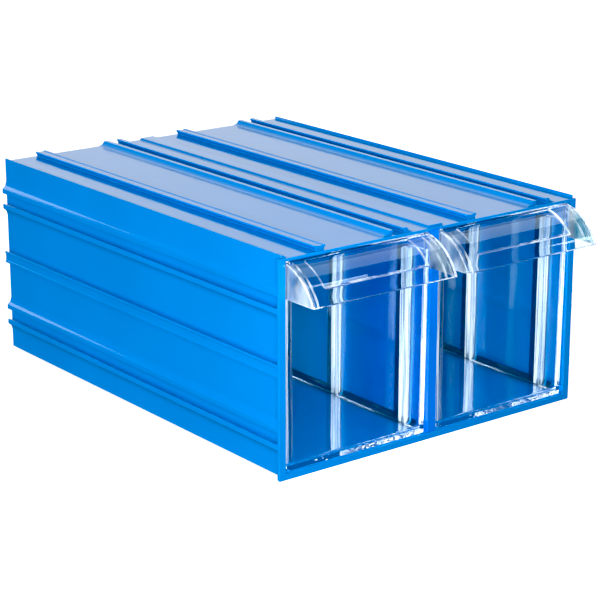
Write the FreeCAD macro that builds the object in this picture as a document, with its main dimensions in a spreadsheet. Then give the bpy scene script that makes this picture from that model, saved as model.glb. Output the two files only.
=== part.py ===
"""Parts organizer: a ribbed stackable housing, its centre partition and two clear drawers.

Frame: +X right seen from the front, the front faces -Y, +Z up. The origin lies on the ground
under the middle of the footprint. Each piece is drawn with y = 0 at the front rim's front
plane and z = 0 on the ground, and its Placement moves it back by the depth of that plane.
"""
import FreeCAD, Part
import math
import os
import Sketcher

DIMENSIONS = [
    # alias, value in mm, meaning
    ("rim_width", 300.0, "outer width of the front rim"),
    ("rim_height", 171.0, "outer height of the front rim"),
    ("rim_thick", 2.7, "front to back thickness of the rim"),
    ("rim_side", 6.0, "visible width of the rim's left and right bars"),
    ("rim_foot", 5.0, "visible height of the rim's bottom bar"),
    ("rim_head", 2.8, "visible height of the rim's top bar"),
    ("rim_lead", 1.2, "lead-in chamfer under the rim's top bar"),
    ("rim_round", 0.9, "radius of the rim's outer corners"),
    ("depth", 398.0, "depth of the housing, rim included"),
    ("body_width", 295.0, "width of the housing behind the rim"),
    ("rail_proud", 4.0, "height of every rail above its wall"),
    ("wall", 2.0, "wall thickness of the housing"),
    ("lip_high", 2.2, "height of the edge lips on the roof"),
    ("lip_low", 1.7, "depth of the edge lips under the floor"),
    ("lip_wide", 5.0, "width of the sloped edge lips"),
    ("roof_pitch", 74.5, "spacing of the rails on roof and floor"),
    ("side_pitch", 52.5, "spacing of the rails on the side walls"),
    ("side_middle", 85.5, "height of the middle rail on the side walls"),
    ("male_tip", 5.1, "half width of a male rail at its tip"),
    ("male_neck", 3.9, "half width of a male rail at its neck"),
    ("male_lip", 1.9, "width of each lip beside the male rail's groove"),
    ("male_groove", 0.6, "depth of the groove along a male rail"),
    ("female_mouth", 4.7, "half width of a female rail's mouth"),
    ("female_root", 5.9, "half width of a female rail's channel"),
    ("female_flat", 8.7, "half width of a female rail over its flat tips"),
    ("female_bend", 11.2, "half width of a female rail where its outer slope eases"),
    ("female_bend_high", 1.2, "height where a female rail's outer slope eases"),
    ("female_foot", 15.0, "half width of a female rail at its foot"),
    ("undercut_low", 1.3, "height where the undercut starts"),
    ("undercut_high", 2.6, "height where the undercut ends"),
    ("strip_half", 6.6, "half width of the raised strip over the partition"),
    ("strip_proud", 1.6, "height of the raised strip"),
    ("channel_deep", 1.0, "depth of the partition's channels"),
    ("part_wide", 8.0, "width of the partition"),
    ("part_skin", 2.0, "wall thickness of the partition"),
    ("part_fit", 0.12, "gap on each side of the partition in its channels"),
    ("face_back", 0.8, "setback of partition and drawer fronts from the rim"),
    ("drawer_gap", 0.8, "gap between a drawer and each side of its cell"),
    ("drawer_lift", 0.4, "gap between a drawer and the housing floor"),
    ("drawer_end", 3.0, "gap between a closed drawer and the back wall"),
    ("front_top", 167.5, "height of the drawer front's top edge"),
    ("tub_top", 153.0, "height of the drawer's side and rear walls"),
    ("tub_draft", 1.5, "how much each drawer side leans in at the floor"),
    ("tub_wall", 1.9, "thickness of the drawer's side walls"),
    ("tub_floor", 2.2, "thickness of the drawer's floor"),
    ("front_wall", 2.4, "thickness of the drawer's front"),
    ("hood_reach", 32.0, "how far the handle hood stands out in front of the rim"),
    ("hood_tip", 140.0, "height of the hood's lower edge"),
    ("hood_radius", 45.0, "outer radius of the hood's curve"),
    ("hood_skin", 2.3, "thickness of the hood"),
    ("hood_round", 2.0, "radius along the hood's curved end edges"),
    ("label_left", 16.0, "from the hood's left end to the label recess"),
    ("label_right", 24.0, "from the hood's right end to the label recess"),
    ("label_foot", 151.0, "height of the label recess's lower edge"),
    ("label_deep", 1.1, "depth of the label recess"),
    ("guide_first", 20.5, "from the rim to the front edge of the first divider guide"),
    ("guide_pitch", 85.0, "spacing of the divider guides"),
    ("guide_rib", 2.8, "thickness of a guide rib along the drawer"),
    ("guide_slot", 2.6, "slot between the two ribs of a guide"),
    ("guide_proud", 3.2, "how far a guide rib stands into the drawer"),
    ("guide_top", 151.5, "height of the guides' upper ends"),
    ("stop_front", 343.0, "from the rim to the front face of the stop lugs"),
    ("stop_thick", 1.6, "thickness of a stop lug"),
    ("stop_long", 4.0, "flat top of a stop lug"),
    ("stop_ramp", 12.0, "length of a stop lug's rear ramp"),
    ("stop_top", 168.7, "height of the stop lugs"),
    ("tub_round", 3.0, "radius of the drawer's outer corners and lower edges"),
    ("tub_inner_round", 4.5, "radius of the drawer's inner corners and floor edges"),
]

# Divider guides on each side wall of a drawer.
GUIDE_COUNT = 4
# How far a section reaches into the wall it stands on, so that the two join.
EMBED = 0.5

doc = FreeCAD.newDocument("PartsOrganizer")
sheet = doc.addObject("Spreadsheet::Sheet", "dim")


def fill_sheet():
    """Writes every driving dimension into the sheet, one row each."""
    for row, (alias, size, meaning) in enumerate(DIMENSIONS, start=1):
        sheet.set("A%d" % row, alias)
        sheet.set("B%d" % row, str(size))
        sheet.set("C%d" % row, meaning)
        sheet.setAlias("B%d" % row, alias)
    doc.recompute()


def size_of(expression):
    """Value in mm of an expression on the sheet."""
    return float(sheet.evalExpression(expression))


def new_body(label):
    """An empty body."""
    body = doc.addObject("PartDesign::Body", label)
    body.Label = label
    return body


def place(piece, centre="0"):
    """Puts a piece's own x = 0 at the given place across the organizer."""
    piece.setExpression(".Placement.Base.x", centre)
    piece.setExpression(".Placement.Base.y", "-(dim.depth - dim.hood_reach) / 2")
    return piece


def new_sketch(body, name, plane, offset="0"):
    """A sketch on one of the body's origin planes, moved along the plane's normal."""
    sketch = body.newObject("Sketcher::SketchObject", name)
    support = [item for item in body.Origin.OriginFeatures if item.Role == plane][0]
    sketch.AttachmentSupport = [(support, "")]
    sketch.MapMode = "FlatFace"
    sketch.setExpression(".AttachmentOffset.Base.z", offset)
    return sketch


def pin_point(sketch, geometry, end, place):
    """Ties one end of a sketch edge to a place given as two expressions."""
    for kind, expression in zip(("DistanceX", "DistanceY"), place):
        constraint = Sketcher.Constraint(kind, -1, 1, geometry, end, size_of(expression))
        index = sketch.addConstraint(constraint)
        sketch.setExpression("Constraints[%d]" % index, expression)


def draw_loop(sketch, corners):
    """Draws a closed outline of straight edges through corners given as expressions."""
    points = [FreeCAD.Vector(size_of(x), size_of(y), 0) for x, y in corners]
    first = sketch.GeometryCount
    count = len(points)
    for index in range(count):
        sketch.addGeometry(Part.LineSegment(points[index], points[(index + 1) % count]))
    for index in range(count):
        following = first + (index + 1) % count
        sketch.addConstraint(Sketcher.Constraint("Coincident", first + index, 2, following, 1))
        pin_point(sketch, first + index, 1, corners[index])


def draw_box(sketch, left, right, low, high):
    """Draws a rectangle between expressions."""
    draw_loop(sketch, [(left, low), (right, low), (right, high), (left, high)])


def pad(body, sketch, name, length, flip=False):
    """Pads a sketch by an expression's length."""
    feature = body.newObject("PartDesign::Pad", name)
    feature.Profile = sketch
    feature.Reversed = flip
    feature.setExpression("Length", length)
    return feature


def pocket(body, sketch, name, length, flip=False):
    """Cuts a sketch out by an expression's length and checks that it removed material."""
    doc.recompute()
    before = body.Shape.Volume
    feature = body.newObject("PartDesign::Pocket", name)
    feature.Profile = sketch
    feature.Reversed = flip
    feature.setExpression("Length", length)
    doc.recompute()
    if body.Shape.Volume >= before:
        raise RuntimeError(name + " cuts nothing")
    return feature


def edges_where(shape, test):
    """Names of the edges whose middle point and direction between their ends pass a test."""
    names = []
    for index, edge in enumerate(shape.Edges, start=1):
        middle = edge.valueAt((edge.FirstParameter + edge.LastParameter) / 2)
        along = edge.Vertexes[-1].Point - edge.Vertexes[0].Point
        if along.Length > 0.01 and test(middle, along.normalize()):
            names.append("Edge%d" % index)
    return names


def round_edges(body, base, name, radius, test):
    """Fillets the edges of the body's last feature that pass a test."""
    doc.recompute()
    names = edges_where(base.Shape, test)
    if not names:
        raise RuntimeError(name + " finds no edge")
    feature = body.newObject("PartDesign::Fillet", name)
    feature.Base = (base, names)
    feature.setExpression("Radius", radius)
    return feature


def near(value, expression):
    """True where a coordinate equals an expression within a hundredth."""
    return abs(value - size_of(expression)) < 0.01


# --- housing ---------------------------------------------------------------------------------

WALLS = {
    # wall: (height of its outer face, does a rail point towards positive coordinates)
    "roof": ("dim.rim_height", "+"),
    "floor": ("dim.rail_proud", "-"),
    "left": ("-dim.body_width / 2", "-"),
    "right": ("dim.body_width / 2", "+"),
}


def on_wall(wall, along, proud):
    """Section point at a place along a wall and a height above its outer face."""
    face, sign = WALLS[wall]
    out = "%s %s (%s)" % (face, sign, proud)
    return (along, out) if wall in ("roof", "floor") else (out, along)


def male_rail(sketch, wall, centre):
    """Dovetail rail with a shallow groove along its tip."""
    half = [
        ("dim.male_neck", "-%g" % EMBED),
        ("dim.male_neck", "dim.undercut_low"),
        ("dim.male_tip", "dim.undercut_high"),
        ("dim.male_tip", "dim.rail_proud"),
        ("dim.male_tip - dim.male_lip", "dim.rail_proud"),
        ("dim.male_tip - dim.male_lip - dim.male_groove", "dim.rail_proud - dim.male_groove"),
    ]
    outline = [("%s - (%s)" % (centre, across), proud) for across, proud in half]
    outline += [("%s + (%s)" % (centre, across), proud) for across, proud in reversed(half)]
    draw_loop(sketch, [on_wall(wall, along, proud) for along, proud in outline])


def female_rail(sketch, wall, centre):
    """Two hooks that face each other over a channel wider than its mouth."""
    half = [
        ("dim.female_root", "-%g" % EMBED),
        ("dim.female_root", "dim.undercut_low"),
        ("dim.female_mouth", "dim.undercut_high"),
        ("dim.female_mouth", "dim.rail_proud"),
        ("dim.female_flat", "dim.rail_proud"),
        ("dim.female_bend", "dim.female_bend_high"),
        ("dim.female_foot", "0"),
        ("dim.female_foot", "-%g" % EMBED),
    ]
    for side in ("-", "+"):
        outline = [("%s %s (%s)" % (centre, side, across), proud) for across, proud in half]
        draw_loop(sketch, [on_wall(wall, along, proud) for along, proud in outline])


def add_rails(body):
    """Rails of the four walls. Opposite walls carry opposite kinds, so that units interlock."""
    across = ["%g * dim.roof_pitch" % step for step in (-1.5, -0.5, 0.5, 1.5)]
    upright = ["dim.side_middle + %g * dim.side_pitch" % step for step in (-1, 0, 1)]
    layout = {
        "roof": (across, "MFMF"),
        "floor": (across, "FMFM"),
        "left": (upright, "FMF"),
        "right": (upright, "MFM"),
    }
    for wall, (centres, kinds) in layout.items():
        sketch = new_sketch(body, wall + "_rail_section", "XZ_Plane", "-dim.rim_thick")
        for centre, kind in zip(centres, kinds):
            draw = male_rail if kind == "M" else female_rail
            draw(sketch, wall, centre)
        pad(body, sketch, wall + "_rails", "dim.depth - dim.rim_thick", flip=True)


def shell_outline():
    """Outer section behind the rim: four walls, edge lips and the strips over the partition."""
    side = "dim.body_width / 2"
    outline = [("-%s" % side, "dim.rail_proud - dim.lip_low")]
    outline += [("-%s + dim.wall" % side, "dim.rail_proud - dim.lip_low")]
    outline += [("-%s + dim.wall" % side, "dim.rail_proud")]
    outline += [("-dim.strip_half - dim.strip_proud", "dim.rail_proud")]
    outline += [("-dim.strip_half", "dim.rail_proud - dim.strip_proud")]
    outline += [("dim.strip_half", "dim.rail_proud - dim.strip_proud")]
    outline += [("dim.strip_half + dim.strip_proud", "dim.rail_proud")]
    outline += [("%s - dim.wall" % side, "dim.rail_proud")]
    outline += [("%s - dim.wall" % side, "dim.rail_proud - dim.lip_low")]
    outline += [(side, "dim.rail_proud - dim.lip_low")]
    outline += [(side, "dim.rim_height + dim.lip_high")]
    outline += [("%s - dim.wall / 2" % side, "dim.rim_height + dim.lip_high")]
    outline += [("%s - dim.wall" % side, "dim.rim_height")]
    outline += [("dim.strip_half + dim.strip_proud", "dim.rim_height")]
    outline += [("dim.strip_half", "dim.rim_height + dim.strip_proud")]
    outline += [("-dim.strip_half", "dim.rim_height + dim.strip_proud")]
    outline += [("-dim.strip_half - dim.strip_proud", "dim.rim_height")]
    outline += [("-%s + dim.lip_wide" % side, "dim.rim_height")]
    outline += [("-%s + dim.wall / 2" % side, "dim.rim_height + dim.lip_high")]
    outline += [("-%s" % side, "dim.rim_height + dim.lip_high")]
    return outline


RIM_LEFT = "-(dim.body_width / 2 + dim.rail_proud)"
RIM_RIGHT = RIM_LEFT + " + dim.rim_width"
OPENING_LEFT = RIM_LEFT + " + dim.rim_side"
OPENING_RIGHT = RIM_RIGHT + " - dim.rim_side"
PARTITION_MIDDLE = "(%s + dim.rim_width / 2)" % RIM_LEFT
FLOOR_TOP = "dim.rail_proud + dim.wall"
ROOF_UNDER = "dim.rim_height - dim.wall"


def build_housing():
    """One moulding: tube of four walls with a back wall, the front rim and all rails."""
    body = new_body("housing")

    sketch = new_sketch(body, "shell_section", "XZ_Plane", "-dim.rim_thick")
    draw_loop(sketch, shell_outline())
    pad(body, sketch, "shell", "dim.depth - dim.rim_thick", flip=True)

    sketch = new_sketch(body, "rim_section", "XZ_Plane")
    draw_box(sketch, RIM_LEFT, RIM_RIGHT, "0", "dim.rim_height")
    rim = pad(body, sketch, "rim", "dim.rim_thick", flip=True)

    def is_rim_corner(middle, along):
        at_side = near(middle.x, RIM_LEFT) or near(middle.x, RIM_RIGHT)
        at_level = near(middle.z, "0") or near(middle.z, "dim.rim_height")
        return abs(along.y) > 0.99 and at_side and at_level

    round_edges(body, rim, "rim_corners", "dim.rim_round", is_rim_corner)
    add_rails(body)

    sketch = new_sketch(body, "cavity_section", "XZ_Plane", "-dim.rim_thick")
    wall_inside = "dim.body_width / 2 - dim.wall"
    draw_box(sketch, "-(%s)" % wall_inside, wall_inside, FLOOR_TOP, ROOF_UNDER)
    pocket(body, sketch, "cavity", "dim.depth - dim.rim_thick - dim.wall")

    sketch = new_sketch(body, "opening_section", "XZ_Plane")
    head = "dim.rim_height - dim.rim_head"
    draw_box(sketch, OPENING_LEFT, OPENING_RIGHT, "dim.rim_foot", head)
    pocket(body, sketch, "opening", "dim.rim_thick")

    sketch = new_sketch(body, "lead_in_section", "YZ_Plane", OPENING_LEFT)
    draw_loop(sketch, [("0", head), ("0", head + " + dim.rim_lead"), ("dim.rim_lead", head)])
    pocket(body, sketch, "lead_in", "dim.rim_width - 2 * dim.rim_side", flip=True)

    sketch = new_sketch(body, "channel_section", "XZ_Plane")
    half = "(dim.part_wide / 2 + dim.part_fit)"
    left = "%s - %s" % (PARTITION_MIDDLE, half)
    right = "%s + %s" % (PARTITION_MIDDLE, half)
    low = "%s - dim.channel_deep" % FLOOR_TOP
    high = "%s + dim.channel_deep" % ROOF_UNDER
    draw_box(sketch, left, right, low, high)
    pocket(body, sketch, "channels", "dim.depth - dim.wall")

    sketch = new_sketch(body, "guide_section", "XZ_Plane", "-dim.rim_thick")
    draw_box(sketch, OPENING_RIGHT, "%s + %g" % (wall_inside, EMBED),
             "%s - %g" % (FLOOR_TOP, EMBED), "%s + dim.rim_side" % FLOOR_TOP)
    pad(body, sketch, "drawer_guide", "dim.depth - dim.rim_thick - dim.wall", flip=True)
    return place(body)


# --- partition -------------------------------------------------------------------------------

def build_partition():
    """Hollow upright that slides into the housing's channels from the front."""
    body = new_body("partition")
    half = "dim.part_wide / 2"
    low = "%s - dim.channel_deep + dim.part_fit" % FLOOR_TOP
    high = "%s + dim.channel_deep - dim.part_fit" % ROOF_UNDER

    sketch = new_sketch(body, "upright_section", "XZ_Plane", "-dim.face_back")
    draw_box(sketch, "-" + half, half, low, high)
    long = "dim.depth - dim.wall - dim.part_fit - dim.face_back"
    pad(body, sketch, "upright", long, flip=True)

    sketch = new_sketch(body, "hollow_section", "XZ_Plane", "-dim.face_back - dim.part_skin")
    inside = "(%s - dim.part_skin)" % half
    draw_box(sketch, "-" + inside, inside, low + " + dim.part_skin", high + " - dim.part_skin")
    pocket(body, sketch, "hollow", long)
    return place(body, PARTITION_MIDDLE)


# --- drawers ---------------------------------------------------------------------------------

CELL_HALF = "((dim.rim_width / 2 - dim.rim_side - dim.part_wide / 2) / 2)"
TUB_LOW = "(%s + dim.drawer_lift)" % FLOOR_TOP
TUB_BACK = "(dim.depth - dim.wall - dim.drawer_end)"
FRONT_HALF = "(%s - dim.drawer_gap)" % CELL_HALF
LEAN = "(dim.tub_draft / (dim.front_top - %s))" % TUB_LOW

# The hood's curve runs from the middle of the front wall's top edge to the hood's lower edge.
ROOT_Y = "(dim.face_back + dim.front_wall / 2)"
CHORD_Y = "(%s + dim.hood_reach)" % ROOT_Y
CHORD_Z = "(dim.front_top - dim.hood_tip)"
CHORD = "sqrt(%s * %s + %s * %s)" % (CHORD_Y, CHORD_Y, CHORD_Z, CHORD_Z)
CHORD_TO_CENTRE = "sqrt(dim.hood_radius * dim.hood_radius - %s * %s / 4)" % (CHORD, CHORD)
HOOD_Y = "((%s - dim.hood_reach) / 2 + %s * %s / %s)" % (
    ROOT_Y, CHORD_TO_CENTRE, CHORD_Z, CHORD)
HOOD_Z = "((dim.front_top + dim.hood_tip) / 2 - %s * %s / %s)" % (
    CHORD_TO_CENTRE, CHORD_Y, CHORD)


def half_width(level):
    """Outer half width of a drawer at a height, because its sides lean in towards the floor."""
    return "(%s - (dim.front_top - (%s)) * %s)" % (FRONT_HALF, level, LEAN)


def draw_leaning_box(sketch, low, high, inset):
    """Section across a drawer between two levels, inset from its outer faces."""
    bottom = "(%s - (%s))" % (half_width(low), inset)
    top = "(%s - (%s))" % (half_width(high), inset)
    draw_loop(sketch, [("-" + bottom, low), (bottom, low), (top, high), ("-" + top, high)])


def draw_hood_arc(sketch, radius, root_y, foot_z):
    """Arc about the hood's centre from a depth at its root to a height at its foot."""
    centre = FreeCAD.Vector(size_of(HOOD_Y), size_of(HOOD_Z), 0)
    across = size_of(radius)
    start = math.acos((size_of(root_y) - centre.x) / across)
    end = math.pi - math.asin((size_of(foot_z) - centre.y) / across)
    circle = Part.Circle(centre, FreeCAD.Vector(0, 0, 1), across)
    arc = sketch.addGeometry(Part.ArcOfCircle(circle, start, end))
    pin_point(sketch, arc, 3, (HOOD_Y, HOOD_Z))
    ties = (("Radius", (arc, across), radius),
            ("DistanceX", (-1, 1, arc, 1, size_of(root_y)), root_y),
            ("DistanceY", (-1, 1, arc, 2, size_of(foot_z)), foot_z))
    for kind, where, expression in ties:
        index = sketch.addConstraint(Sketcher.Constraint(kind, *where))
        sketch.setExpression("Constraints[%d]" % index, expression)
    return arc


def end_point(sketch, geometry, end):
    """Present place of one end of a sketch edge."""
    return sketch.getPoint(geometry, end)


def join(sketch, from_geometry, from_end, to_geometry, to_end):
    """Straight edge between two ends that are already tied down."""
    line = sketch.addGeometry(Part.LineSegment(end_point(sketch, from_geometry, from_end),
                                               end_point(sketch, to_geometry, to_end)))
    sketch.addConstraint(Sketcher.Constraint("Coincident", from_geometry, from_end, line, 1))
    sketch.addConstraint(Sketcher.Constraint("Coincident", line, 2, to_geometry, to_end))


def draw_hood_band(sketch, outer, inner, root_y, foot_z):
    """Curved band between two radii about the hood's centre."""
    far = draw_hood_arc(sketch, outer, root_y, foot_z)
    close = draw_hood_arc(sketch, inner, root_y, foot_z)
    join(sketch, far, 1, close, 1)
    join(sketch, far, 2, close, 2)


def mirror_across(body, feature, name):
    """Repeats a feature on the other side of the drawer's middle."""
    mirrored = body.newObject("PartDesign::Mirrored", name)
    mirrored.Originals = [feature]
    middle = [item for item in body.Origin.OriginFeatures if item.Role == "YZ_Plane"][0]
    mirrored.MirrorPlane = (middle, [""])
    body.Tip = mirrored
    return mirrored


def add_tub(body):
    """Open box with leaning sides and a front wall taller than the other three."""
    sketch = new_sketch(body, "tub_section", "XZ_Plane", "-dim.face_back")
    draw_leaning_box(sketch, TUB_LOW, "dim.front_top", "0")
    tub = pad(body, sketch, "tub", "%s - dim.face_back" % TUB_BACK, flip=True)

    def is_outer_edge(middle, along):
        at_end = near(middle.y, "dim.face_back") or near(middle.y, TUB_BACK)
        upright = abs(along.z) > 0.9 and at_end
        return upright or (abs(along.y) > 0.9 and near(middle.z, TUB_LOW))

    round_edges(body, tub, "outer_edges", "dim.tub_round", is_outer_edge)

    floor = "%s + dim.tub_floor" % TUB_LOW
    front_inside = "dim.face_back + dim.front_wall"
    back_inside = "%s - dim.tub_wall" % TUB_BACK
    sketch = new_sketch(body, "inside_section", "XZ_Plane", "-(%s)" % front_inside)
    draw_leaning_box(sketch, floor, "dim.front_top + %g" % EMBED, "dim.tub_wall")
    inside = pocket(body, sketch, "inside", "%s - (%s)" % (back_inside, front_inside))

    def is_inner_edge(middle, along):
        at_end = near(middle.y, front_inside) or near(middle.y, back_inside)
        return (abs(along.z) > 0.9 and at_end) or near(middle.z, floor)

    round_edges(body, inside, "inner_edges", "dim.tub_inner_round", is_inner_edge)

    shoulder = "%s + dim.tub_inner_round" % front_inside
    sketch = new_sketch(body, "rim_cut_section", "XZ_Plane", "-(%s)" % shoulder)
    draw_box(sketch, "-" + CELL_HALF, CELL_HALF, "dim.tub_top", "dim.rim_height")
    pocket(body, sketch, "lowered_walls", "%s - (%s) + %g" % (TUB_BACK, shoulder, EMBED))


def add_hood(body):
    """Curved hood across the front, closed at both ends, with a recess for a label."""
    sketch = new_sketch(body, "hood_section", "YZ_Plane")
    draw_hood_band(sketch, "dim.hood_radius", "dim.hood_radius - dim.hood_skin",
                   ROOT_Y, "dim.hood_tip")
    hood = pad(body, sketch, "hood", "2 * " + FRONT_HALF)
    hood.Midplane = True

    sketch = new_sketch(body, "end_plate_section", "YZ_Plane", FRONT_HALF + " - dim.hood_skin")
    arc = draw_hood_arc(sketch, "dim.hood_radius", ROOT_Y, "dim.hood_tip")
    corner = FreeCAD.Vector(size_of(ROOT_Y), size_of("dim.hood_tip"), 0)
    down = sketch.addGeometry(Part.LineSegment(end_point(sketch, arc, 1), corner))
    out = sketch.addGeometry(Part.LineSegment(corner, end_point(sketch, arc, 2)))
    sketch.addConstraint(Sketcher.Constraint("Coincident", arc, 1, down, 1))
    sketch.addConstraint(Sketcher.Constraint("Coincident", down, 2, out, 1))
    sketch.addConstraint(Sketcher.Constraint("Coincident", out, 2, arc, 2))
    sketch.addConstraint(Sketcher.Constraint("Vertical", down))
    sketch.addConstraint(Sketcher.Constraint("Horizontal", out))
    plate = pad(body, sketch, "end_plate", "dim.hood_skin")
    plates = mirror_across(body, plate, "end_plates")

    def is_end_arc(middle, along):
        from_centre = math.hypot(middle.y - size_of(HOOD_Y), middle.z - size_of(HOOD_Z))
        return near(abs(middle.x), FRONT_HALF) and near(from_centre, "dim.hood_radius")

    round_edges(body, plates, "end_rounding", "dim.hood_round", is_end_arc)

    sketch = new_sketch(body, "label_section", "YZ_Plane", "dim.label_left - " + FRONT_HALF)
    draw_hood_band(sketch, "dim.hood_radius + %g" % EMBED, "dim.hood_radius - dim.label_deep",
                   ROOT_Y, "dim.label_foot")
    length = "2 * %s - dim.label_left - dim.label_right" % FRONT_HALF
    pocket(body, sketch, "label_recess", length, flip=True)


def add_guides(body):
    """Pairs of upright ribs on both side walls that take loose dividers."""
    bottom_half = half_width(TUB_LOW)
    inner = "(%s - dim.tub_wall - dim.guide_proud)" % bottom_half
    outer = "(%s - %g)" % (bottom_half, EMBED)
    sketch = new_sketch(body, "guide_plan", "XY_Plane", "%s + %g" % (TUB_LOW, EMBED))
    for step in ("0", "(dim.guide_rib + dim.guide_slot)"):
        front = "dim.guide_first + " + step
        back = front + " + dim.guide_rib"
        draw_box(sketch, inner, outer, front, back)
        draw_box(sketch, "-" + outer, "-" + inner, front, back)
    guide = pad(body, sketch, "guide", "dim.guide_top - %s - %g" % (TUB_LOW, EMBED))

    pattern = body.newObject("PartDesign::LinearPattern", "guides")
    pattern.Originals = [guide]
    pattern.Direction = (sketch, ["V_Axis"])
    pattern.setExpression("Length", "dim.guide_pitch * %d" % (GUIDE_COUNT - 1))
    pattern.Occurrences = GUIDE_COUNT
    body.Tip = pattern


def add_stop_lugs(body):
    """Ramped lugs near the rear that catch the rim's top bar when the drawer is pulled out."""
    root = "dim.tub_top - %g" % EMBED
    wall_middle = "%s - dim.tub_wall" % half_width("dim.tub_top")
    sketch = new_sketch(body, "lug_section", "YZ_Plane", wall_middle)
    draw_loop(sketch, [
        ("dim.stop_front", root),
        ("dim.stop_front + dim.stop_long + dim.stop_ramp", root),
        ("dim.stop_front + dim.stop_long", "dim.stop_top"),
        ("dim.stop_front", "dim.stop_top"),
    ])
    lug = pad(body, sketch, "stop_lug", "dim.stop_thick")
    mirror_across(body, lug, "stop_lugs")


def build_drawer(label, side):
    """One clear moulding, a tub joined to its hood, in its cell beside the partition."""
    tub = new_body(label + "_tub")
    add_tub(tub)
    add_guides(tub)
    add_stop_lugs(tub)
    hood = new_body(label + "_hood")
    add_hood(hood)
    drawer = doc.addObject("Part::Fuse", label)
    drawer.Label = label
    drawer.Base = tub
    drawer.Tool = hood
    return place(drawer, "%s %s (dim.part_wide / 2 + %s)" % (PARTITION_MIDDLE, side, CELL_HALF))


def check_document():
    """Stops with the name of any object that failed."""
    doc.recompute()
    for item in doc.Objects:
        if "Invalid" in item.State or "Error" in item.State:
            raise RuntimeError(item.Name + " failed: " + str(item.State))


def write_parts(pieces):
    """Writes one STEP file per piece."""
    os.makedirs("parts", exist_ok=True)
    for piece in pieces:
        shape = piece.Shape
        if shape.isNull() or not shape.isValid() or len(shape.Solids) != 1:
            raise RuntimeError(piece.Label + " has no valid shape")
        shape.exportStep("parts/%s.step" % piece.Label)


fill_sheet()
PIECES = [build_housing(), build_partition(), build_drawer("drawer_left", "-"),
          build_drawer("drawer_right", "+")]
check_document()
write_parts(PIECES)
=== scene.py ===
"""Looks of the parts organizer: glossy blue housing and partition, two clear drawers.

Many of the looks are masks by position. Lengths named below are in mm, as the word says where they
are used: "aside" is from a drawer's middle, "depth" is behind the rim's front, "height" is above
the ground.
"""
import math

import bpy
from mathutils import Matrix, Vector


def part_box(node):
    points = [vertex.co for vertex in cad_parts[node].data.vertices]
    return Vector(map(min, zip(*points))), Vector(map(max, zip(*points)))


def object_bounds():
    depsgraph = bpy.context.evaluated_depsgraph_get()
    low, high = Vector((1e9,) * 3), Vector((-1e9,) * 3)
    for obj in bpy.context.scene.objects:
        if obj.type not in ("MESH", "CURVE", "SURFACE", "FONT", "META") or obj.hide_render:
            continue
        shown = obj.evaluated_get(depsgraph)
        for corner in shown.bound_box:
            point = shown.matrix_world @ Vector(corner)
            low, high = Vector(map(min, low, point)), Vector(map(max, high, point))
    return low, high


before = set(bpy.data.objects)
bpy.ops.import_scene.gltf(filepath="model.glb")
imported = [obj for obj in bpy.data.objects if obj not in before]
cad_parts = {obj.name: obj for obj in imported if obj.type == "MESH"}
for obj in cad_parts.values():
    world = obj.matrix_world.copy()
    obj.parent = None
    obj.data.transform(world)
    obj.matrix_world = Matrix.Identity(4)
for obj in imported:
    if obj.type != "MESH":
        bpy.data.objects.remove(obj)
CAD_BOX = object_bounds()
MM = 0.001


# --- shapes ----------------------------------------------------------------------------------

BEVEL = 0.35 * MM
WELD_GAP = 0.002 * MM
FLAT_ANGLE = 0.3
CORNER_ANGLE = 40


def shape_up(name):
    """Softens the corners of a CAD node with a fine bevel and shades it smoothly between them."""
    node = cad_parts[name]
    mesh = node.data
    mesh.polygons.foreach_set("use_smooth", [True] * len(mesh.polygons))
    weld = node.modifiers.new("join_corners", "WELD")
    weld.merge_threshold = WELD_GAP
    flat = node.modifiers.new("join_flat_faces", "DECIMATE")
    flat.decimate_type = "DISSOLVE"
    flat.angle_limit = math.radians(FLAT_ANGLE)
    soft = node.modifiers.new("moulded_edges", "BEVEL")
    soft.width = BEVEL
    soft.segments = 2
    soft.limit_method = "ANGLE"
    soft.angle_limit = math.radians(CORNER_ANGLE)
    soft.use_clamp_overlap = False
    even = node.modifiers.new("even_shading", "WEIGHTED_NORMAL")
    even.mode = "FACE_AREA"
    return node


def dress(node, material):
    node.data.materials.clear()
    node.data.materials.append(material)


# --- shader helpers --------------------------------------------------------------------------

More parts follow.
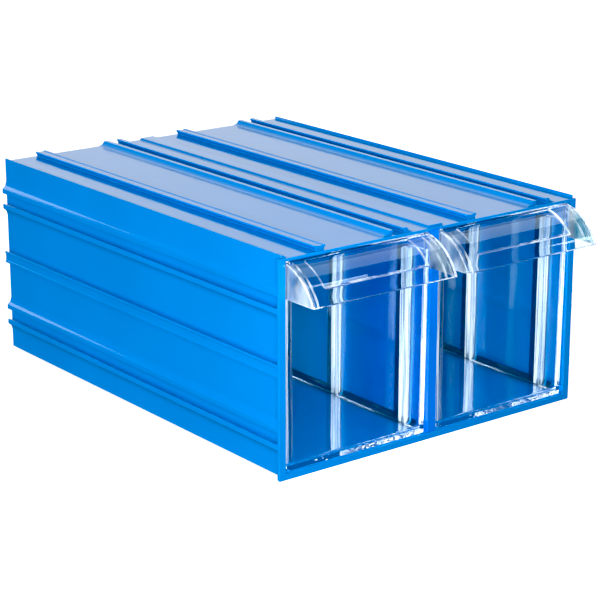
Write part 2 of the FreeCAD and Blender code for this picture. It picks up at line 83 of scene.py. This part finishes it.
class Nodes:
    """A node tree with short calls for the nodes used here. Values are sockets or numbers."""

    def __init__(self, tree):
        self.tree = tree
        self.tree.nodes.clear()
        self.add = tree.nodes.new

    def feed(self, socket, value):
        if isinstance(value, bpy.types.NodeSocket):
            self.tree.links.new(value, socket)
        else:
            socket.default_value = value

    def position(self):
        return self.add("ShaderNodeTexCoord").outputs["Object"]

    def axes(self, vector):
        split = self.add("ShaderNodeSeparateXYZ")
        self.feed(split.inputs[0], vector)
        return split.outputs

    def scaled(self, vector, scale):
        mapping = self.add("ShaderNodeMapping")
        self.feed(mapping.inputs["Vector"], vector)
        mapping.inputs["Scale"].default_value = scale
        return mapping.outputs["Vector"]

    def noise(self, vector, scale, detail=2.0):
        noise = self.add("ShaderNodeTexNoise")
        self.feed(noise.inputs["Vector"], vector)
        noise.inputs["Scale"].default_value = scale
        noise.inputs["Detail"].default_value = detail
        return noise.outputs["Fac"]

    def math(self, operation, first, second=0.0):
        node = self.add("ShaderNodeMath")
        node.operation = operation
        self.feed(node.inputs[0], first)
        self.feed(node.inputs[1], second)
        return node.outputs[0]

    def spread(self, value, low, high, out_low, out_high):
        span = self.add("ShaderNodeMapRange")
        self.feed(span.inputs["Value"], value)
        for key, number in zip(("From Min", "From Max", "To Min", "To Max"),
                               (low, high, out_low, out_high)):
            self.feed(span.inputs[key], number)
        return span.outputs["Result"]

    def between(self, value, low, high):
        """1 inside a range, 0 outside it."""
        return self.math("MULTIPLY", self.math("GREATER_THAN", value, low),
                         self.math("LESS_THAN", value, high))

    def within(self, value, band):
        """1 inside a pair of limits in mm, 0 outside them."""
        return self.between(value, band[0] * MM, band[1] * MM)

    def both(self, *masks):
        """1 only where all masks are 1."""
        result = masks[0]
        for mask in masks[1:]:
            result = self.math("MULTIPLY", result, mask)
        return result

    def choose(self, factor, first, second):
        """A number that goes from first at factor 0 to second at factor 1."""
        mix = self.add("ShaderNodeMix")
        mix.data_type = "FLOAT"
        for slot, value in ((0, factor), (2, first), (3, second)):
            self.feed(mix.inputs[slot], value)
        return mix.outputs[0]

    def tint(self, factor, first, second):
        """A colour that goes from first at factor 0 to second at factor 1."""
        mix = self.add("ShaderNodeMix")
        mix.data_type = "RGBA"
        for slot, value in ((0, factor), (6, first), (7, second)):
            self.feed(mix.inputs[slot], value)
        return mix.outputs[2]

    def edge_mask(self, radius, start, end):
        """1 along corners, 0 on flat faces."""
        rounded = self.add("ShaderNodeBevel")
        rounded.samples = 4
        rounded.inputs["Radius"].default_value = radius
        dot = self.add("ShaderNodeVectorMath")
        dot.operation = "DOT_PRODUCT"
        self.feed(dot.inputs[0], rounded.outputs["Normal"])
        self.feed(dot.inputs[1], self.add("ShaderNodeNewGeometry").outputs["Normal"])
        return self.spread(dot.outputs["Value"], start, end, 0.0, 1.0)

    def crease_mask(self, reach):
        """1 out in the open, lower down in grooves and inner corners; it places painted shade."""
        occlusion = self.add("ShaderNodeAmbientOcclusion")
        occlusion.samples = 4
        occlusion.only_local = True
        occlusion.inputs["Distance"].default_value = reach
        return self.spread(occlusion.outputs["AO"], 0.35, 0.95, 0.35, 1.0)

    def bump(self, height, strength, distance):
        bump = self.add("ShaderNodeBump")
        self.feed(bump.inputs["Height"], height)
        bump.inputs["Strength"].default_value = strength
        bump.inputs["Distance"].default_value = distance
        return bump.outputs["Normal"]

    def surface(self, socket):
        output = self.add("ShaderNodeOutputMaterial")
        self.feed(output.inputs["Surface"], socket)


def new_material(name):
    material = bpy.data.materials.new(name)
    material.use_nodes = True
    return material, Nodes(material.node_tree)


def rgb(red, green, blue):
    """Linear colour from sRGB values of 0 to 255."""
    def linear(value):
        value /= 255.0
        return value / 12.92 if value <= 0.04045 else ((value + 0.055) / 1.055) ** 2.4
    return (linear(red), linear(green), linear(blue), 1.0)


# --- materials -------------------------------------------------------------------------------

# Painted light: the inner walls turn paler blue between these depths behind the rim's front.
DEEP_PAINTED_LIGHT_DEPTH = (70.0, 170.0)
CELL_GAP = 1.5
BACK_WALL = 3.0
DEEP_PAINTED_LIGHT_BLUE = rgb(0, 175, 255)
DEEPER = 0.93
# Painted shade: grooves and inner corners darken towards this share of the colour.
SHADED = 0.40
CREASE_REACH = 4.0 * MM


def darkened(colour, share):
    return tuple(share * part for part in colour[:3]) + (1.0,)


def deep_painted_light_mask(n, place):
    """Where painted light makes the walls paler: 1 on the inner walls far behind the drawers'
    fronts, 0 near the fronts and outside.
    """
    left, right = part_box("drawer_left"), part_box("drawer_right")
    front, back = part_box("housing")[0].y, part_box("housing")[1].y
    x, y, z = n.axes(place)
    inner = n.both(n.between(x, left[0].x - CELL_GAP * MM, right[1].x + CELL_GAP * MM),
                   n.between(z, left[0].z, left[1].z),
                   n.math("LESS_THAN", y, back - BACK_WALL * MM))
    start, end = front + DEEP_PAINTED_LIGHT_DEPTH[0] * MM, front + DEEP_PAINTED_LIGHT_DEPTH[1] * MM
    return n.math("MULTIPLY", inner, n.spread(y, start, end, 0.0, 1.0))


def coloured_plastic(name, colour, rubbed_and_highlit, gloss_low, gloss_high):
    """Glossy opaque moulding: faint mottle, fine peel, painted highlights on corners, painted light
    paling the inner walls deep in, painted shade in creases.
    """
    material, n = new_material(name)
    place = n.position()
    shader = n.add("ShaderNodeBsdfPrincipled")
    mottle = n.spread(n.noise(place, 9.0, 3.0), 0.35, 0.65, 0.0, 1.0)
    body = n.tint(mottle, darkened(colour, DEEPER), colour)
    # Painted light: paler deep in the cells.
    body = n.tint(deep_painted_light_mask(n, place), body, DEEP_PAINTED_LIGHT_BLUE)
    # Painted shade in grooves and inner corners.
    body = n.tint(n.crease_mask(CREASE_REACH), darkened(colour, SHADED), body)
    # Painted highlight: corners and edges lighten towards the lighter blue.
    edges = n.edge_mask(0.7 * MM, 0.98, 0.80)
    n.feed(shader.inputs["Base Color"], n.tint(edges, body, rubbed_and_highlit))
    drag = n.noise(n.scaled(place, (60.0, 6.0, 60.0)), 5.0, 4.0)
    n.feed(shader.inputs["Roughness"], n.spread(drag, 0.3, 0.7, gloss_low, gloss_high))
    n.feed(shader.inputs["Normal"], n.bump(n.noise(place, 420.0), 0.08, 0.05 * MM))
    shader.inputs["IOR"].default_value = 1.45
    n.surface(shader.outputs["BSDF"])
    return material


# Painted bands across one divider guide of a drawer, from its front side to its back side, in mm
# along
# the drawer: where a band starts and ends, and its strength. White bands are painted highlights,
# the blue band a painted light-blue line, and dark bands painted shadow that the guide casts.
GUIDE_PAINTED_WHITE = ((4.0, 6.8, 1.0), (6.8, 9.4, 0.35), (9.4, 12.4, 1.0))
GUIDE_PAINTED_BLUE = ((0.2, 2.2, 1.0),)
GUIDE_PAINTED_SHADOW = ((2.2, 4.0, 0.8), (12.4, 21.5, 1.0))
GUIDE_FIRST = 20.5
GUIDE_PITCH = 85.0
GUIDES = 4


def across_guides(n, y, bands):
    """Strength of a set of bands, the same at every guide of a drawer."""
    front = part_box("housing")[0].y
    first = front + (GUIDE_FIRST - GUIDE_PAINTED_WHITE[0][0]) * MM
    along = n.math("SUBTRACT", y, first)
    step = n.math("MODULO", along, GUIDE_PITCH * MM)
    total = 0.0
    for low, high, strength in bands:
        band = n.math("MULTIPLY", n.between(step, low * MM, high * MM), strength)
        total = n.math("ADD", total, band)
    return n.both(total, n.between(along, 0.0, GUIDES * GUIDE_PITCH * MM))


# Where the guides' painted bands lie; their painted white fades towards the top.
RIB_ASIDE = (61.8, 67.6)
RIB_HEIGHT = (9.2, 152.0)
RIB_FADE = (95.0, 150.0)
RIB_TOP = 0.45
# Painted shade along the foot of each drawer's inner side walls.
FOOT_ASIDE = 60.5
FOOT_HEIGHT = 13.6
FOOT_DEPTH = 12.0
FOOT_PAINTED_SHADE = 0.8
HOOD_DEPTH = 0.2
# Painted dark line along the right end of each hood.
OUTLINE = 1.1
# A painted highlight streak near each drawer's front corners, fainter on its left side.
CORNER_ASIDE = (65.0, 68.4)
CORNER_DEPTH = (1.4, 6.5)
CORNER_HEIGHT = (12.0, 140.0)
CORNER_LEFT = 0.4


def drawer_masks(n, place, node):
    """Where a clear drawer gets painted highlights (white), painted light-blue lines and painted
    shadow and shade (dark), and where its painted highlight lines are.
    """
    low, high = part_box(node)
    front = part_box("housing")[0].y
    x, y, z = n.axes(place)
    aside = n.math("ABSOLUTE", n.math("SUBTRACT", x, (low.x + high.x) / 2))
    right = n.math("GREATER_THAN", x, (low.x + high.x) / 2)
    depth = n.math("SUBTRACT", y, front)
    walls = n.both(n.within(aside, RIB_ASIDE), n.within(z, RIB_HEIGHT))
    fade = n.spread(z, RIB_FADE[0] * MM, RIB_FADE[1] * MM, 1.0, RIB_TOP)
    white = n.both(walls, across_guides(n, y, GUIDE_PAINTED_WHITE), fade)
    blue = n.both(walls, across_guides(n, y, GUIDE_PAINTED_BLUE))
    dark = n.both(walls, across_guides(n, y, GUIDE_PAINTED_SHADOW))
    foot = n.both(n.math("GREATER_THAN", aside, FOOT_ASIDE * MM),
                  n.math("LESS_THAN", z, FOOT_HEIGHT * MM),
                  n.math("GREATER_THAN", depth, FOOT_DEPTH * MM))
    dark = n.math("MAXIMUM", dark, n.math("MULTIPLY", foot, FOOT_PAINTED_SHADE))
    outline = n.both(n.math("LESS_THAN", depth, HOOD_DEPTH * MM),
                     n.math("GREATER_THAN", x, high.x - OUTLINE * MM))
    dark = n.math("MAXIMUM", dark, outline)
    corner = n.both(n.within(aside, CORNER_ASIDE), n.within(depth, CORNER_DEPTH),
                    n.within(z, CORNER_HEIGHT), n.choose(right, CORNER_LEFT, 1.0))
    hood = n.both(hood_mask(n, node, x, depth, z), n.math("SUBTRACT", 1.0, outline))
    sill = sill_mask(n, node, place)
    return n.math("MAXIMUM", white, corner), blue, dark, n.math("MAXIMUM", hood, sill)


SILL_DEPTH = (0.0, 6.0)
SILL_HEIGHT = (6.6, 9.6)
SILL_SHARE = (0.74, 0.42)


def sill_mask(n, node, place):
    """Glints along the lower edge of a drawer's front, more of them towards its right end."""
    low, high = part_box(node)
    x, y, z = n.axes(place)
    depth = n.math("SUBTRACT", y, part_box("housing")[0].y)
    share = n.spread(x, low.x, high.x, *SILL_SHARE)
    speckle = n.noise(n.scaled(place, (1.0, 0.3, 1.6)), 260.0, 1.0)
    glints = n.math("GREATER_THAN", speckle, share)
    return n.both(glints, n.within(depth, SILL_DEPTH), n.within(z, SILL_HEIGHT))


# Painted highlight lines on a drawer's hood, in mm from the hood's ends, from the front rim or above
# the floor.
LABEL_LEFT = 16.0
LABEL_RIGHT = 24.0
LABEL_FOOT = 151.3
LINE = 0.3
FOOT_LINE = 0.14
LEFT_LINE = 0.4
END_LINE = 5.2
RIGHT_LINE = 11.0
PLATE = 2.4
PLATE_PAINTED_LIGHT = 0.30


def hood_mask(n, node, x, depth, z):
    """Painted highlights: 1 along the corners of a drawer's hood and label recess, which catch the
    light, and a fainter share over its end plates.
    """
    low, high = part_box(node)
    hood = n.math("LESS_THAN", depth, HOOD_DEPTH * MM)
    from_left = n.math("SUBTRACT", x, low.x)
    from_right = n.math("SUBTRACT", high.x, x)
    from_end = n.math("MINIMUM", from_left, from_right)

    def line(value, place, width=LINE):
        return n.between(value, (place - width) * MM, (place + width) * MM)

    sides = n.math("MAXIMUM", line(from_left, LABEL_LEFT), line(from_right, LABEL_RIGHT))
    sides = n.math("MULTIPLY", sides, n.math("GREATER_THAN", z, LABEL_FOOT * MM))
    beside = n.both(n.math("GREATER_THAN", from_left, LABEL_LEFT * MM),
                    n.math("GREATER_THAN", from_right, LABEL_RIGHT * MM))
    foot = n.both(line(z, LABEL_FOOT, FOOT_LINE), beside)
    ends = n.math("MULTIPLY", line(from_end, END_LINE), 0.8)
    ends = n.math("MAXIMUM", line(from_left, LEFT_LINE), ends)
    ends = n.math("MAXIMUM", ends, n.math("MULTIPLY", line(from_right, RIGHT_LINE), 0.7))
    plates = n.math("MULTIPLY", n.math("LESS_THAN", from_end, PLATE * MM), PLATE_PAINTED_LIGHT)
    lines = n.math("MAXIMUM", n.math("MAXIMUM", sides, foot), n.math("MAXIMUM", ends, plates))
    return n.math("MULTIPLY", lines, hood)


# Painted glow: a ray that is still inside clear plastic at this depth picks up a deep blue glow, so
# it isn't black.
TRAPPED = 9
TRAPPED_GLOW_BLUE = (0.0, 0.10, 0.42, 1.0)
MIRROR_TINT = (0.68, 0.93, 1.0, 1.0)
CLEAR_LOW, CLEAR_HIGH = (0.81, 0.875, 0.90, 1.0), (0.85, 0.905, 0.93, 1.0)
# Colours of the drawers' painted shade, painted light-blue lines and glowing painted highlights, and
# how strongly these glow.
PAINTED_SHADE_COLOUR, PAINTED_BLUE_COLOUR = (0.0, 0.03, 0.10, 1.0), (0.02, 0.42, 0.92, 1.0)
PAINTED_LIGHT_LOW, PAINTED_LIGHT_HIGH = (0.35, 0.72, 1.0, 1.0), (0.97, 0.985, 1.0, 1.0)
PAINTED_GLOW = (0.93, 0.97, 1.0, 1.0)
SHADOW_CLEAR, SHADOW_PAINTED_WHITE = (0.84, 0.89, 0.87, 1.0), (0.35, 0.4, 0.45, 1.0)
GLOW_SEEN, GLOW_MIRRORED = 0.50, 1.6


def clear_plastic(name, node):
    """Polished clear moulding with slow waves. Its painted highlights, pale bands and lines, glow
    faintly; its dark bands are painted shade.
    """
    material, n = new_material(name)
    place = n.position()
    shader = n.add("ShaderNodeBsdfPrincipled")
    shader.inputs["IOR"].default_value = 1.5
    shader.inputs["Specular Tint"].default_value = MIRROR_TINT
    haze = n.noise(place, 30.0, 3.0)
    clear = n.tint(haze, CLEAR_LOW, CLEAR_HIGH)
    white, blue, dark, hood = drawer_masks(n, place, node)
    streak = n.noise(n.scaled(place, (1.0, 1.0, 0.02)), 700.0, 0.0)
    streak = n.spread(streak, 0.38, 0.56, 0.25, 1.0)
    patches = n.noise(n.scaled(place, (1.0, 1.0, 0.4)), 90.0, 2.0)
    patches = n.spread(patches, 0.40, 0.60, 0.15, 1.0)
    # Painted highlights: the white guide bands and hood lines, made pale, dull and glowing.
    painted_light = n.math("MAXIMUM", n.both(white, streak), n.both(hood, patches))
    colour = n.tint(dark, clear, PAINTED_SHADE_COLOUR)
    colour = n.tint(blue, colour, PAINTED_BLUE_COLOUR)
    painted_white = n.tint(painted_light, PAINTED_LIGHT_LOW, PAINTED_LIGHT_HIGH)
    n.feed(shader.inputs["Base Color"], n.tint(painted_light, colour, painted_white))
    painted_bands = n.math("MAXIMUM", painted_light, n.math("MULTIPLY", blue, 0.85))
    n.feed(shader.inputs["Transmission Weight"], n.spread(painted_bands, 0.0, 1.0, 1.0, 0.15))
    path = n.add("ShaderNodeLightPath").outputs
    trapped = n.between(path["Ray Depth"], TRAPPED - 0.5, TRAPPED + 0.5)
    glow = n.choose(n.math("MINIMUM", path["Glossy Depth"], 1.0), GLOW_SEEN, GLOW_MIRRORED)
    n.feed(shader.inputs["Emission Color"], n.tint(trapped, PAINTED_GLOW, TRAPPED_GLOW_BLUE))
    n.feed(shader.inputs["Emission Strength"],
           n.math("MAXIMUM", n.math("MULTIPLY", painted_light, glow), trapped))
    rubbed_and_highlit = n.math("MULTIPLY", n.edge_mask(0.6 * MM, 0.97, 0.75), 0.08)
    fine = n.spread(n.noise(place, 220.0, 4.0), 0.35, 0.75, 0.006, 0.03)
    dull = n.math("ADD", n.math("ADD", rubbed_and_highlit, fine), n.math("MULTIPLY", painted_light, 0.25))
    n.feed(shader.inputs["Roughness"], dull)
    waves = n.noise(n.scaled(place, (1.0, 1.0, 0.35)), 45.0, 1.0)
    n.feed(shader.inputs["Normal"], n.bump(waves, 0.25, 0.25 * MM))
    through = n.add("ShaderNodeBsdfTransparent")
    n.feed(through.inputs["Color"], n.tint(white, SHADOW_CLEAR, SHADOW_PAINTED_WHITE))
    share = n.add("ShaderNodeMixShader")
    n.feed(share.inputs["Fac"], path["Is Shadow Ray"])
    n.feed(share.inputs[1], shader.outputs["BSDF"])
    n.feed(share.inputs[2], through.outputs["BSDF"])
    n.surface(share.outputs["Shader"])
    return material


# --- pieces ----------------------------------------------------------------------------------

# The second colour of each moulding is the lighter blue of its painted edge highlights.
dress(shape_up("housing"),
      coloured_plastic("housing_plastic", rgb(0, 138, 232), rgb(30, 165, 245), 0.08, 0.16))
dress(shape_up("partition"),
      coloured_plastic("partition_plastic", rgb(0, 120, 240), rgb(30, 150, 250), 0.10, 0.18))
for drawer in ("drawer_left", "drawer_right"):
    dress(shape_up(drawer), clear_plastic(drawer + "_clear", drawer))


# --- studio ----------------------------------------------------------------------------------

SKY = 0.30
SKY_SEEN = 1.0
SKY_MIRRORED_FRONT = 0.04
SKY_MIRRORED_BEHIND = 1.45
SKY_MIRRORED_OVERHEAD = 2.3
SKY_CAUGHT = 0.05
FLOOR_GLOW = 0.75
FLOOR_LIGHTING = 0.20
FLOOR_MIRRORED = 0.12
FLOOR_CAUGHT = 0.10
INSIDE = 0.45
FLOOR_HALF = 12.0
WHITE = (1.0, 1.0, 1.0, 1.0)
BLACK = (0.0, 0.0, 0.0, 1.0)

# Soft boxes: name, azimuth, elevation, distance, size and power. Azimuth 0 is in front.
LAMPS = (("front_box", -35, 14, 1.0, (0.25, 0.25), 6.2),
         ("left_box", -100, 14, 3.0, (1.6, 1.2), 33.0),
         ("right_box", 100, 12, 3.0, (1.6, 1.2), 14.0),
         ("back_box", 192, 16, 3.0, (1.6, 1.2), 20.0),
         ("top_strip", 0, 62, 1.8, (2.4, 0.10), 4.0),
         ("left_strip", -60, 8, 2.4, (0.10, 1.6), 4.0),
         ("right_strip", 50, 10, 2.4, (0.10, 1.6), 3.0))
CAMERA_PLACE = Vector((-0.9783, -1.2744, 0.5571))
CAMERA_AIM = Vector((0.5862, 0.7562, -0.2907))
CAMERA_LENS = 119.33


def mirrored(n, path):
    """1 for a ray that a surface has just mirrored, 0 for one that came through glass."""
    straight = n.math("SUBTRACT", 1.0, path["Is Transmission Ray"])
    return n.math("MULTIPLY", path["Is Glossy Ray"], straight)


def floor_material():
    """Pale matt paint. It is at its brightest where the camera or clear plastic looks at it."""
    material, n = new_material("floor_paint")
    path = n.add("ShaderNodeLightPath").outputs
    caught = n.math("MINIMUM", path["Glossy Depth"], 1.0)
    inside = n.math("MINIMUM", path["Diffuse Depth"], 1.0)
    bounced = n.choose(path["Is Diffuse Ray"], FLOOR_MIRRORED, FLOOR_LIGHTING)
    glass = n.choose(inside, n.choose(caught, 1.0, FLOOR_CAUGHT), INSIDE)
    share = n.choose(path["Is Transmission Ray"], bounced, glass)
    share = n.choose(path["Is Camera Ray"], share, 1.0)
    cloud = n.noise(n.position(), 0.8, 2.0)
    pale = n.tint(cloud, (0.86, 0.865, 0.87, 1.0), (0.89, 0.893, 0.897, 1.0))
    bright = n.add("ShaderNodeBsdfDiffuse")
    n.feed(bright.inputs["Color"], n.tint(share, BLACK, pale))
    glow = n.add("ShaderNodeEmission")
    glow.inputs["Color"].default_value = WHITE
    n.feed(glow.inputs["Strength"], n.math("MULTIPLY", share, FLOOR_GLOW))
    total = n.add("ShaderNodeAddShader")
    n.feed(total.inputs[0], bright.outputs["BSDF"])
    n.feed(total.inputs[1], glow.outputs["Emission"])
    n.surface(total.outputs["Shader"])
    return material


def add_item(name, data):
    item = bpy.data.objects.new(name, data)
    bpy.context.scene.collection.objects.link(item)
    return item


def turn(item, direction):
    """Points a lamp or camera along a direction."""
    item.rotation_mode = "QUATERNION"
    item.rotation_quaternion = direction.to_track_quat("-Z", "Y")


def add_floor():
    mesh = bpy.data.meshes.new("floor")
    half = FLOOR_HALF
    level = CAD_BOX[0].z
    corners = [(-half, -half, level), (half, -half, level), (half, half, level),
               (-half, half, level)]
    mesh.from_pydata(corners, [], [(0, 1, 2, 3)])
    mesh.materials.append(floor_material())
    add_item("floor", mesh)


def add_lamp(name, azimuth, elevation, distance, size, power):
    """Soft box round the object. Azimuth 0 is in front, and 90 is on its right."""
    lamp = bpy.data.lights.new(name, "AREA")
    lamp.shape = "RECTANGLE"
    lamp.size, lamp.size_y = size
    lamp.energy = power
    item = add_item(name, lamp)
    around, up = math.radians(azimuth), math.radians(elevation)
    away = Vector((math.sin(around) * math.cos(up), -math.cos(around) * math.cos(up),
                   math.sin(up)))
    centre = (CAD_BOX[0] + CAD_BOX[1]) / 2
    item.location = centre + distance * away
    turn(item, -away)


def add_world():
    """White surroundings. In reflections they are bright behind and dim in front."""
    world = bpy.data.worlds.new("studio")
    bpy.context.scene.world = world
    world.use_nodes = True
    n = Nodes(world.node_tree)
    path = n.add("ShaderNodeLightPath").outputs
    toward = n.axes(n.add("ShaderNodeTexCoord").outputs["Generated"])
    behind = n.spread(toward["Y"], 0.2, 0.45, SKY_MIRRORED_FRONT, SKY_MIRRORED_BEHIND)
    overhead = n.math("MULTIPLY", n.between(toward["Y"], -0.045, 0.32), SKY_MIRRORED_OVERHEAD)
    behind = n.math("MULTIPLY", behind, n.spread(toward["X"], -0.35, 0.35, 0.1, 1.0))
    behind = n.math("MAXIMUM", behind, overhead)
    caught = n.math("MINIMUM", path["Glossy Depth"], 1.0)
    inside = n.math("MINIMUM", path["Diffuse Depth"], 1.0)
    seen = n.math("MAXIMUM", path["Is Camera Ray"], path["Is Transmission Ray"])
    seen = n.math("MULTIPLY", seen, n.math("SUBTRACT", 1.0, inside))
    plain = n.choose(caught, SKY_SEEN, SKY_CAUGHT)
    strength = n.choose(mirrored(n, path), n.choose(seen, SKY, plain), behind)
    background = n.add("ShaderNodeBackground")
    background.inputs["Color"].default_value = WHITE
    n.feed(background.inputs["Strength"], strength)
    output = n.add("ShaderNodeOutputWorld")
    n.feed(output.inputs["Surface"], background.outputs["Background"])


def add_camera(place, aim, lens):
    camera = bpy.data.cameras.new("camera")
    camera.sensor_width = 36.0
    camera.lens = lens
    item = add_item("camera", camera)
    item.location = place
    turn(item, aim)
    bpy.context.scene.camera = item


add_floor()
add_world()
for lamp_values in LAMPS:
    add_lamp(*lamp_values)
add_camera(CAMERA_PLACE, CAMERA_AIM, CAMERA_LENS)

scene = bpy.context.scene
scene.view_settings.view_transform = "Standard"
scene.view_settings.use_curve_mapping = True
scene.view_settings.curve_mapping.black_level = (0.045, 0.006, 0.0)
scene.cycles.max_bounces = 32
scene.cycles.transmission_bounces = 24
scene.cycles.glossy_bounces = 24
scene.cycles.transparent_max_bounces = 16
